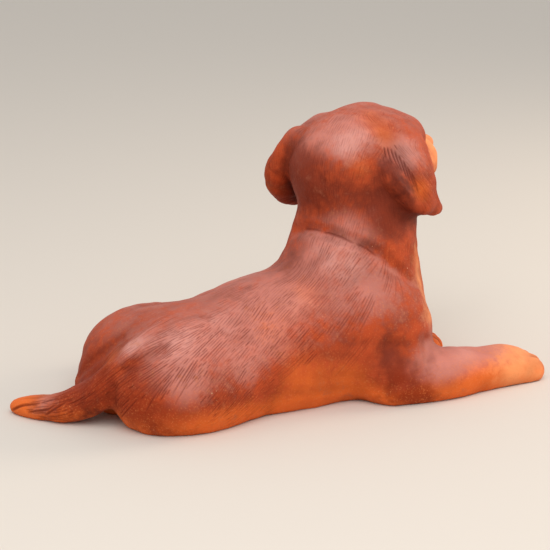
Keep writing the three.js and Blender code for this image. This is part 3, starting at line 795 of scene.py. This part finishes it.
def combing_lines():
    turn, at = placing(HEAD)

    def flipped(line, middle):
        return [(x, 2 * middle - y, z) for x, y, z in line]

    head_lines = HEAD_COMBING + MIRRORED_HEAD_COMBING + [flipped(line, 0) for line in MIRRORED_HEAD_COMBING]
    lines = [np.array(line, float) @ turn.T + at for line in head_lines]
    lines += [np.array(line, float) for line in COMBING + MIRRORED_COMBING]
    lines += [np.array(flipped(line, MIRROR_LINE / 2), float) for line in MIRRORED_COMBING]
    lines.append(np.array(TAIL["joints"], float)[1:, :3])
    return [smooth_rows(line, 3) for line in lines]


COMBED = combing_lines()


def hair_way(points, normals):
    """Which way the hair lies at points on the surface."""
    EVEN = 3.0
    total = np.zeros_like(points)
    for line in COMBED:
        best = np.full(len(points), np.inf)
        way = np.zeros_like(points)
        for a, b in zip(line[:-1], line[1:]):
            along = b - a
            t = np.clip((points - a) @ along / (along @ along), 0, 1)
            aside = points - a - t[:, None] * along
            away = np.einsum("ij,ij->i", aside, aside)
            nearer = away < best
            best[nearer] = away[nearer]
            way[nearer] = along / np.linalg.norm(along)
        total += way / (best + EVEN**2)[:, None] ** 2
    total -= np.einsum("ij,ij->i", total, normals)[:, None] * normals
    return total / (np.linalg.norm(total, axis=1)[:, None] + 1e-12)


class Cuts:
    """Samples along the cut strokes: place, way, way out of the surface, depth and width."""

    def __init__(self, at, way, out, depth, width):
        self.at, self.way, self.out, self.depth, self.width = at, way, out, depth, width
        self.tree = KDTree(len(at))
        for n, point in enumerate(at.tolist()):
            self.tree.insert(point, n)
        self.tree.balance()

    def nearest(self, points):
        """The nearest sample to each point, and how far away it is."""
        found = np.array([self.tree.find(point)[1:] for point in points.tolist()])
        return found[:, 0].astype(int), found[:, 1]

    def depths(self, points):
        """How deep the strokes are cut at the points, without and with the lips beside them."""
        nearest, _ = self.nearest(points)
        offset = points - self.at[nearest]
        offset -= np.einsum("ij,ij->i", offset, self.out[nearest])[:, None] * self.out[nearest]
        along = np.einsum("ij,ij->i", offset, self.way[nearest])
        aside = np.linalg.norm(offset - along[:, None] * self.way[nearest], axis=1) / self.width[nearest]
        fade = np.exp(-(along / STROKE_STEP) ** 4) * self.depth[nearest]
        groove = np.exp(-aside**2) * fade
        lip = np.exp(-((aside - LIP_OUT) / LIP_WIDE) ** 2) * fade
        return groove, groove - LIP_SHARE * lip


def tuft_starts(surface, rng):
    """The strokes of all tufts, as rows: centre, shift aside, length, depth and twist."""
    rows = []
    for at, spread, tufts, few, many, gap, short, long, deep in TUFTS:
        away = np.linalg.norm(surface - at, axis=1) / spread
        weight = np.exp(-away**2) * (surface[:, 2] > LEAST_HEIGHT)
        for centre in surface[rng.choice(len(surface), tufts, p=weight / weight.sum())]:
            lines = rng.integers(few, many + 1)
            length = rng.uniform(short, long)
            twist = rng.normal(0, TUFT_TWIST)
            strength = deep * rng.uniform(0.6, 1.2)
            for n in range(lines):
                aside = (n - (lines - 1) / 2 + rng.normal(0, 0.1)) * gap
                rows.append((
                    *centre, aside, length * rng.uniform(0.55, 1.0), strength * rng.uniform(0.6, 1.1),
                    twist + rng.normal(0, LINE_TWIST),
                ))
    return np.array(rows)


def longest_run(clear):
    """Where the longest run of true values begins, and where it has ended."""
    first = 0
    best = (0, 0)
    for place, still in enumerate([*clear, False]):
        if not still:
            best = max(best, (first, place), key=lambda run: run[1] - run[0])
            first = place + 1
    return best


def kept_apart(strokes):
    """Of each stroke the longest stretch that keeps clear of the ones before it, with thin ends."""
    taken = {}

    def crowded(point, cell):
        around = (taken.get(tuple(map(add, cell, step)), ()) for step in product((-1, 0, 1), repeat=3))
        return any(math.dist(point, other) < APART for others in around for other in others)

    kept = []
    for samples in strokes:
        points = samples[:, :3].tolist()
        cells = np.floor(samples[:, :3] / APART).astype(int).tolist()
        first, last = longest_run([not crowded(point, cell) for point, cell in zip(points, cells)])
        if (last - first) * STROKE_STEP < SHORTEST_STROKE:
            continue
        for point, cell in zip(points[first:last], cells[first:last]):
            taken.setdefault(tuple(cell), []).append(point)
        share = (np.arange(last - first) + 0.5) / (last - first)
        stretch = samples[first:last].copy()
        stretch[:, 9] *= np.sqrt(np.clip(np.minimum(share / RUN_IN, (1 - share) / RUN_OUT), 0, 1))
        kept.append(stretch)
    return np.concatenate(kept)


def combed_strokes(surface, rng):
    """The strokes of the tufts, as samples along the way that the hair lies."""
    rows = tuft_starts(surface, rng)
    points = rows[:, :3]
    aside, lengths, depths, twists = rows[:, 3:].T
    _, out = nearness(points)
    way = hair_way(points, out)
    before = lengths * rng.uniform(0.3, 0.7, len(lengths))
    points = onto_surface(points + np.cross(out, way) * aside[:, None] - way * before[:, None])
    which = np.arange(len(rows))
    samples = []
    for step in range(int(lengths.max() / STROKE_STEP) + 1):
        live = step * STROKE_STEP <= lengths
        which, points, lengths, depths, twists = (v[live] for v in (which, points, lengths, depths, twists))
        away, out = nearness(points)
        points = points - out * np.clip(away, -1, 1)[:, None]
        way = hair_way(points, out)
        way = way * np.cos(twists)[:, None] + np.cross(out, way) * np.sin(twists)[:, None]
        width = np.full(len(points), STROKE_WIDTH)
        samples.append(np.column_stack([which, points, way, out, depths, width]))
        points = points + way * STROKE_STEP
    samples = np.concatenate(samples)
    samples = samples[np.argsort(samples[:, 0], kind="stable")]
    ends = np.flatnonzero(np.diff(samples[:, 0])) + 1
    return np.split(samples[:, 1:], ends)


def drawn_strokes():
    """The strokes that are drawn one by one, as samples along them."""
    drawn = []
    for depth, width, through in LOCKS:
        run = smooth_rows(through, 6)
        long = np.concatenate([[0], np.cumsum(np.linalg.norm(np.diff(run, axis=0), axis=1))])
        along = np.arange(0, long[-1], STROKE_STEP)
        points = onto_surface(np.stack([np.interp(along, long, run[:, axis]) for axis in range(3)], 1))
        _, out = nearness(points)
        way = np.gradient(points, axis=0)
        way -= np.einsum("ij,ij->i", way, out)[:, None] * out
        way /= np.linalg.norm(way, axis=1)[:, None]
        drawn.append(np.column_stack([points, way, out, np.full((len(points), 2), (depth, width))]))
    return drawn


def strokes(surface, rng):
    samples = kept_apart(drawn_strokes() + combed_strokes(surface, rng))
    samples = samples[samples[:, 2] > LEAST_HEIGHT / 2]
    return Cuts(samples[:, :3], samples[:, 3:6], samples[:, 6:9], samples[:, 9], samples[:, 10])


def unevenness(points, rng):
    """A slow swell and dip of the hand-worked surface, in millimetres."""
    WAVES, SHORTEST, LONGEST, HEIGHT = 16, 7, 22, 0.055
    total = np.zeros(len(points))
    for _ in range(WAVES):
        way = rng.normal(size=3)
        way *= 2 * math.pi / rng.uniform(SHORTEST, LONGEST) / np.linalg.norm(way)
        total += np.sin(points @ way + rng.uniform(0, 2 * math.pi))
    return HEIGHT * total


def carved_surface():
    """The fine figure with its cut coat, thinned to what it may have."""
    rng = np.random.default_rng(SEED)
    points, triangles = base_surface()
    cuts = strokes(points, rng)
    points, triangles = refined(points, triangles, cuts)
    _, depth = cuts.depths(points)
    lift = (unevenness(points, rng) - depth) * (points[:, 2] > 0.05)
    points += normals_of(points, triangles) * lift[:, None]
    points[:, 2] = np.maximum(points[:, 2], 0)
    return thinned(mesh_of("fine", points, triangles), TRIANGLES), cuts


# PAINT MASKS

# Soft painted patches: where each is, how far it spreads and how strong it is. Some are the paint's own
# tones, and some are painted light and shade, as said above each list.
# The mauve is partly the paint's own dusty tone and partly a painted sky sheen on the upper surfaces.
MAUVE_AND_SKY_SHEEN_PATCHES = [
    ((27, -8, 108), 12, 0.9), ((15, 2, 103), 9, 0.6), ((50, -18.5, 100), 8, 1.1), ((14, -13, 62), 13, 0.9),
    ((26, -28, 48), 15, 0.8), ((-55, -30, 35), 13, 0.75), ((-69, -17, 34), 6, 0.7), ((-34, -25, 39), 14, 0.8),
    ((-57, -40, 20), 9, 0.8), ((-29, -38, 24), 9, 0.6), ((62, -38, 19), 14, 1.1), ((82, -34, 19), 12, 0.9),
    ((27, -20, 72), 9, 0.6), ((-8, -20, 46), 15, 0.8), ((-16, -33, 33), 10, 0.5), ((40, -44, 12), 5, 0.6),
    ((-10, 20, 44), 22, 0.6), ((52, -44, 11), 8, 0.8),
    ((40, 26, 100), 14, 0.7), ((-100, 2, 9), 7, 0.3),
]
# Painted highlights: the sky's sheen on the upper surfaces of the head, back, haunch, tail and foreleg.
PAINTED_SHEEN_PATCHES = [
    ((27, -12, 106), 7, 1.0), ((36, -14, 107), 6, 0.5), ((50, -18, 101), 6, 0.8), ((18, -16, 60), 8, 0.8),
    ((24, -24, 55), 8, 0.6), ((-54, -29, 36), 9, 0.8), ((-70, -18, 34), 5, 0.9), ((-34, -22, 42), 11, 0.6),
    ((-2, -22, 46), 10, 0.5), ((70, -37, 18), 10, 0.5), ((-100, 4, 8), 6, 0.6),
]
# The orange is partly the paint's own tone; low on the flank and the forelegs it is also painted warm light
# thrown up from the ground.
ORANGE_AND_BOUNCE_LIGHT_PATCHES = [
    ((-4, -35, 14), 12, 0.8), ((4, -20, 47), 11, 0.45), ((-14, -29, 38), 12, 0.4), ((70, -45, 6), 10, 0.6),
    ((84, -42, 4), 12, 0.7), ((43, -14, 108), 7, 0.6), ((30, -17, 97), 7, 0.5), ((42, -4, 114), 9, 0.5),
    ((11, 33, 84), 9, 0.7), ((54, -24, 86), 6, 0.8), ((54, -28, 62), 6, 0.4), ((-77, -9, 25), 7, 0.7),
    ((-107, 14, 4), 8, 1.0), ((18, -34, 12), 10, 0.8), ((40, 0, 58), 12, 0.3),
]
# Painted warm light: the chest's edge, the near forepaw and the muzzle as if lit from the right.
PAINTED_WARM_LIGHT_PATCHES = [
    ((60, -21, 43), 9, 0.6), ((59, -16, 54), 8, 0.5), ((56, -31, 34), 7, 0.45), ((103, -38, 9), 18, 0.85),
    ((88, -46, 6), 9, 0.4), ((95, 32, 92), 12, 0.9), ((86, 22, 88), 8, 0.4),
]
# The brown is partly the neck's own darker tone and partly painted shade under the skull, behind the near ear
# and in the armpit.
BROWN_AND_SHADE_PATCHES = [
    ((24, -13, 88), 12, 0.6), ((12, 2, 84), 13, 1.0), ((14, 8, 99), 10, 0.8), ((45, -24, 76), 11, 1.3),
    ((17, -4, 97), 7, 0.7), ((34, -40, 20), 7, 0.9),
    ((36, -21, 82), 9, 0.6), ((-22, -8, 48), 14, 0.3), ((-76, 4, 28), 13, 0.4), ((32, -37, 28), 9, 0.5),
    ((10, 28, 80), 10, 0.4), ((2, -2, 60), 10, 0.8), ((42, -21, 95), 6, 1.0), ((37, -43, 12), 6, 0.8),
]
DEEP_RED_PATCHES = [
    ((-88, -8, 13), 12, 1.0), ((-80, -12, 19), 9, 0.7), ((-74, -30, 12), 13, 0.9), ((-60, -38, 6), 12, 0.5),
    ((-98, 2, 5), 8, 0.6), ((-72, -25, 28), 5, 0.6), ((-78, 10, 18), 12, 0.7), ((-20, -38, 16), 9, 0.4),
    ((34, -40, 12), 9, 0.7), ((44, -45, 4), 11, 1.0),
]
# Painted shade over a darker wash: behind the ears, in the neck's fold, under the tail and in the armpit.
WASH_AND_SHADE_PATCHES = [
    ((46, -26, 89), 6, 1.1), ((35, -41, 19), 5, 0.3), ((40, -21, 97), 5, 0.5), ((14, 14, 76), 7, 0.6),
    ((-86, -12, 6), 8, 0.6), ((20, -14, 69), 5, 0.5), ((31, -22, 65), 5, 0.5), ((6, 30, 76), 6, 0.5),
]
CHIP_PATCHES = [
    ((-46, -42, 18), 6, 1.0), ((-34, -40, 18), 6, 0.8), ((52, -31, 88), 5, 0.8), ((60, -43, 8), 8, 0.5),
]
NOSE_PAINT = {"at": (65.2, 0, -5.4), "radii": (2.4, 5.4, 4)}
LOW_BAND = 15  # how high up the orange near the ground reaches, in millimetres: partly the paint's own tone and partly painted warm light thrown up from the ground


def patches(points, places):
    total = np.zeros(len(points))
    for at, spread, strength in places:
        away = points - np.array(at, float)
        total += strength * np.exp(-np.einsum("ij,ij->i", away, away) / spread**2)
    return np.clip(total, 0, 1)


def eggs_near(points, place, parts, reach):
    """How close points are to the small forms of the head, as 1 on them and 0 beyond the reach."""
    turn, at = placing(place)
    local = (points - at) @ turn
    half = np.column_stack([local[:, 0], np.abs(local[:, 1]), local[:, 2]])
    away = np.min([egg(part).distance(half) for part in parts], 0)
    return np.clip(1 - away / reach, 0, 1)


def paint_masks(points, cuts):
    """Where each colour, painted highlight and painted shade and the chipped wear go, as one number a point
    for every mask.
    """
    FULL_GROOVE = 0.24
    _, out = nearness(points)

    # How shut in a point is, from 0 in the open to 1 deep in a hollow: it sets the painted shade.
    def closeness(far):
        return 1 - np.clip(in_batches(FIGURE.distance, points + out * far) / far, 0, 1)

    return {
        "groove": np.clip(cuts.depths(points)[0] / FULL_GROOVE, 0, 1),
        # Painted shade in the hollows, close and wide, and a painted sky sheen on the up-facing surfaces.
        "recess_shade": closeness(2.5),
        "shade": closeness(9),
        "up": np.clip(out[:, 2], 0, 1),
        "low": np.clip(1 - points[:, 2] / LOW_BAND, 0, 1),
        "mauve_and_sky_sheen": patches(points, MAUVE_AND_SKY_SHEEN_PATCHES),
        "painted_sheen": patches(points, PAINTED_SHEEN_PATCHES),
        "orange_and_bounce_light": patches(points, ORANGE_AND_BOUNCE_LIGHT_PATCHES),
        "painted_warm_light": patches(points, PAINTED_WARM_LIGHT_PATCHES),
        "brown_and_shade": patches(points, BROWN_AND_SHADE_PATCHES),
        "deep_red": patches(points, DEEP_RED_PATCHES),
        "wash_and_shade": patches(points, WASH_AND_SHADE_PATCHES),
        "chips": patches(points, CHIP_PATCHES),
        "eyes": eggs_near(points, HEAD, [EYEBALL], 0.35),
        "nose": eggs_near(points, HEAD, [NOSE_PAINT], 1.2),
    }


# SHADERS

class Value:
    """A number that varies over a surface. Arithmetic on it adds the nodes that work it out."""

    def __init__(self, paint, socket):
        self.paint = paint
        self.socket = socket

    def maths(self, operation, *values, clamp=False):
        settings = {"operation": operation, "use_clamp": clamp}
        return self.paint.node("ShaderNodeMath", settings, dict(enumerate(values)))

    def __add__(self, other):
        return self.maths("ADD", self, other)

    def __sub__(self, other):
        return self.maths("SUBTRACT", self, other)

    def __rsub__(self, other):
        return self.maths("SUBTRACT", other, self)

    def __mul__(self, other):
        return self.maths("MULTIPLY", self, other)

    def __truediv__(self, other):
        return self.maths("DIVIDE", self, other)

    def __pow__(self, other):
        return self.maths("POWER", self, other)

    __radd__ = __add__
    __rmul__ = __mul__

    def limited(self):
        return self.maths("ADD", self, 0, clamp=True)

    def rising(self, low, high):
        """0 below the low value, 1 above the high one, and a smooth rise between."""
        settings = {"interpolation_type": "SMOOTHSTEP"}
        inputs = {"Value": self, "From Min": low, "From Max": high}
        return self.paint.node("ShaderNodeMapRange", settings, inputs)


class Paint:
    """A material whose nodes are written as expressions."""

    def __init__(self, name):
        self.material = bpy.data.materials.new(name)
        self.material.use_nodes = True
        self.tree = self.material.node_tree
        self.tree.nodes.clear()

    def node(self, kind, settings, inputs, output=0):
        made = self.tree.nodes.new(kind)
        for name, value in settings.items():
            setattr(made, name, value)
        for name, value in inputs.items():
            if isinstance(value, Value):
                self.tree.links.new(value.socket, made.inputs[name])
            else:
                made.inputs[name].default_value = value
        return Value(self, made.outputs[output]) if len(made.outputs) else None

    def mask(self, name):
        return self.node("ShaderNodeAttribute", {"attribute_name": name}, {}, "Fac")

    def noise(self, size, detail=2.0, roughness=0.5, stretch=None):
        """Noise whose lumps are about this many millimetres across."""
        place = self.node("ShaderNodeTexCoord", {}, {}, "Object")
        if stretch:
            place = self.node("ShaderNodeMapping", {}, {"Vector": place, "Scale": stretch})
        inputs = {"Vector": place, "Scale": 1 / (size * MILLIMETRE), "Detail": detail, "Roughness": roughness}
        return self.node("ShaderNodeTexNoise", {}, inputs, "Fac")

    def mixed(self, share, first, second, blend="MIX"):
        """Colours mixed by a share from 0 to 1."""
        FACTOR, FIRST, SECOND, RESULT = 0, 6, 7, 2
        settings = {"data_type": "RGBA", "blend_type": blend, "clamp_factor": True}
        return self.node("ShaderNodeMix", settings, {FACTOR: share, FIRST: first, SECOND: second}, RESULT)

    def finish(self, **inputs):
        """Ends in a Principled shader. A name's underscores stand for spaces."""
        named = {name.replace("_", " "): value for name, value in inputs.items()}
        shader = self.node("ShaderNodeBsdfPrincipled", {}, named)
        self.node("ShaderNodeOutputMaterial", {}, {"Surface": shader})
        return self.material


def colour(red, green, blue):
    """A colour that is given as it looks on a screen, from 0 to 255, as the shaders take it."""

    def linear(shown):
        return ((shown / 255 + 0.055) / 1.055) ** 2.4 if shown > 10 else shown / 255 / 12.92

    return (linear(red), linear(green), linear(blue), 1)


# The paint's colours. The mauve is partly a painted sky sheen, the sheen colour is a painted highlight, the
# peach is painted warm light, and the burgundy and the groove red are partly painted shade.
RED = colour(180, 72, 36)
RED_BROWN = colour(120, 46, 28)
MAUVE = colour(196, 124, 110)
PAINTED_SHEEN = colour(216, 156, 144)
ORANGE = colour(226, 106, 42)
DEEP_RED = colour(140, 46, 16)
PAINTED_WARM_LIGHT = colour(248, 156, 98)
BURGUNDY = colour(80, 26, 16)
GROOVE_RED = colour(104, 38, 24)
LIGHT_GRAIN = colour(224, 128, 74)
CHIPPED = colour(240, 206, 160)
EYE_DARK = colour(30, 16, 12)
NOSE_DARK = colour(74, 34, 24)


def painted_carving():
    paint = Paint("painted_carving")
    cloudy = paint.noise(16, detail=3, roughness=0.55) - 0.5
    mottled = paint.noise(4, detail=4, roughness=0.6) - 0.5
    fine = paint.noise(1.4, detail=3, roughness=0.6) - 0.5
    grainy = paint.noise(0.7, detail=2, roughness=0.6) - 0.5
    groove = paint.mask("groove")
    recess_shade = paint.mask("recess_shade")
    low = paint.mask("low")

    def washed(under, mask, tint, most):
        """A tint laid over what is under it, with an edge that the noises break up."""
        share = (mask + cloudy * 0.7 + mottled * 0.7 + fine * 0.3).rising(0.1, 1.0)
        return paint.mixed(share * most, under, tint)

    tone = paint.mixed((cloudy * 1.2 + mottled * 0.8 + 0.35).rising(0.0, 1.0), RED, RED_BROWN)
    # Mauve on the up-facing surfaces is a painted sky sheen; on its patches it is partly the paint's own
    # tone.
    tone = washed(tone, paint.mask("up") * 0.5 + paint.mask("mauve_and_sky_sheen") * 0.8, MAUVE, 0.85)
    # The orange near the ground and on its patches is partly the paint's own tone and partly painted warm
    # light thrown up from the ground.
    tone = washed(tone, low * 1.5, ORANGE, 0.9)
    tone = washed(tone, paint.mask("orange_and_bounce_light"), ORANGE, 0.8)
    # The brown is partly the neck's own tone and partly painted shade.
    tone = washed(tone, paint.mask("brown_and_shade"), RED_BROWN, 0.85)
    tone = washed(tone, paint.mask("deep_red"), DEEP_RED, 0.9)
    # A painted highlight: the sky's sheen.
    tone = washed(tone, paint.mask("painted_sheen"), PAINTED_SHEEN, 0.5)
    # Painted warm light from the right and front.
    tone = washed(tone, paint.mask("painted_warm_light"), PAINTED_WARM_LIGHT, 0.9)
    dabs = grainy.rising(0.02, 0.25) * (1 - groove)
    tone = paint.mixed(dabs * (0.3 + low * 0.5 - paint.mask("brown_and_shade") * 0.25), tone, LIGHT_GRAIN)
    # Painted shade in the hollows, from how shut in each point is, over a darker wash.
    hollow_shade = (recess_shade * 1.2 + paint.mask("shade") * 0.4 + mottled * 0.3).limited()
    tone = paint.mixed(hollow_shade * 0.85, tone, BURGUNDY)
    # More painted shade behind the ears, in the neck's fold, under the tail and in the armpit, over a darker
    # wash.
    tone = washed(tone, paint.mask("wash_and_shade"), BURGUNDY, 0.85)
    # The cut strokes darker: partly a dark wash in them and partly painted shade in the grooves.
    tone = paint.mixed(groove * 0.5, tone, GROOVE_RED)
    specks = paint.noise(1.2, detail=1, roughness=0.4)
    chipped = (specks + paint.mask("chips") * 0.14).rising(0.84, 0.87) * (1 - groove)
    tone = paint.mixed(chipped * 0.85, tone, CHIPPED)
    nose = paint.mask("nose").rising(0.3, 0.8)
    eyes = paint.mask("eyes").rising(0.3, 0.7)
    tone = paint.mixed(nose * 0.8, tone, NOSE_DARK)
    tone = paint.mixed(eyes, tone, EYE_DARK)

    rough = 0.6 + mottled * 0.2 + groove * 0.2 + chipped * 0.2
    rough = rough * (1 - eyes * 0.6) * (1 - nose * 0.2)
    height = mottled * 0.2 + fine * 0.16 + grainy * 0.12 - chipped * 0.25
    bump = paint.node("ShaderNodeBump", {}, {"Strength": 0.5, "Distance": 0.5 * MILLIMETRE, "Height": height})
    return paint.finish(
        Base_Color=tone, Roughness=rough.limited(), Normal=bump, Specular_IOR_Level=0.1,
    )


def pale_floor():
    paint = Paint("pale_floor")
    return paint.finish(Base_Color=colour(214, 204, 192), Roughness=0.85, Specular_IOR_Level=0.2)


# THE PIECE

def fitted(points):
    """The points drawn in by a hair, so that the strokes' lips stay inside the frame's box."""
    box_low, box_high = np.array(cad_box)
    low = points.min(0)
    return box_low + (points - low) * (box_high - box_low) / (points.max(0) - low)


def make_setter():
    mesh, cuts = carved_surface()
    mesh.name = "setter"
    points = points_of(mesh)
    for name, values in paint_masks(points, cuts).items():
        attribute = mesh.attributes.new(name, "FLOAT", "POINT")
        attribute.data.foreach_set("value", values.astype(np.float32))
    in_frame = fitted((points + LAYOUT_SHIFT) * MILLIMETRE)
    mesh.vertices.foreach_set("co", in_frame.astype(np.float32).ravel())
    mesh.update()
    mesh.shade_smooth()
    mesh.materials.clear()
    mesh.materials.append(painted_carving())
    setter = bpy.data.objects.new("setter", mesh)
    bpy.context.scene.collection.objects.link(setter)
    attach(setter, "root")
    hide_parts("lying_setter")


make_setter()


# FLOOR AND LIGHT

FLOOR_SPAN = 6.0


def make_floor():
    half = FLOOR_SPAN / 2
    corners = np.array([(-half, -half, 0), (half, -half, 0), (half, half, 0), (-half, half, 0)])
    floor = bpy.data.objects.new("floor", mesh_of("floor", corners, np.array([[0, 1, 2, 3]])))
    floor.data.materials.append(pale_floor())
    bpy.context.scene.collection.objects.link(floor)


def make_light(name, at, towards, size, watts, tint):
    data = bpy.data.lights.new(name, "AREA")
    data.shape = "DISK"
    data.size = size
    data.energy = watts
    data.color = tint
    light = bpy.data.objects.new(name, data)
    light.location = at
    light.rotation_mode = "QUATERNION"
    light.rotation_quaternion = (Vector(towards) - Vector(at)).to_track_quat("-Z", "Y")
    bpy.context.scene.collection.objects.link(light)


def make_sky(tint, strength):
    world = bpy.data.worlds.new("sky")
    world.use_nodes = True
    background = world.node_tree.nodes["Background"]
    background.inputs["Color"].default_value = tint
    background.inputs["Strength"].default_value = strength
    bpy.context.scene.world = world


make_floor()
make_sky((0.96, 0.98, 1.0, 1), 0.75)
make_light("overhead", (-0.25, -0.55, 0.8), (0, 0, 0.05), 0.9, 6, (0.97, 0.98, 1.0))
make_light("right_glow", (0.8, -0.1, 0.35), (0.03, 0, 0.06), 0.4, 3, (1.0, 0.84, 0.68))
bpy.context.scene.view_settings.view_transform = "Standard"
